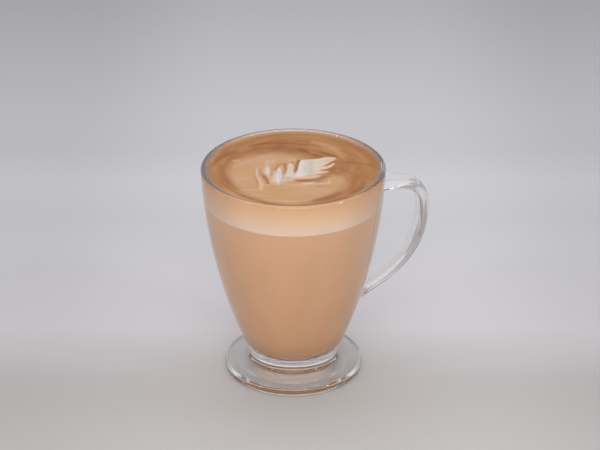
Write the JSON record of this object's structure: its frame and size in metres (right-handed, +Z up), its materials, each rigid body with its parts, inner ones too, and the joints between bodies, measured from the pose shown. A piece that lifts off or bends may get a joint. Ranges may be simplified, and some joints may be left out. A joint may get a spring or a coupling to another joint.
{
  "type": "glass mug of latte",
  "caption": "Footed clear glass mug with a strap handle, filled to the brim with milky coffee under a thick foam layer that carries a poured leaf pattern.",
  "frame": {"origin": "on the plane that the foot stands on, midway along X between the bowl's far side and the handle's reach; the bowl's axis is at x = -0.01069 m", "axes": "+Z up along the bowl's axis, +X towards the handle"},
  "size_m": [0.1054, 0.084, 0.1021],
  "materials": {
    "clear_glass": "clear pressed glass, smooth and glossy",
    "milky_coffee": null,
    "coffee_foam": null
  },
  "bodies": {
    "root": {"mug": "clear_glass", "coffee": "milky_coffee", "foam": "coffee_foam"}
  },
  "joints": []
}
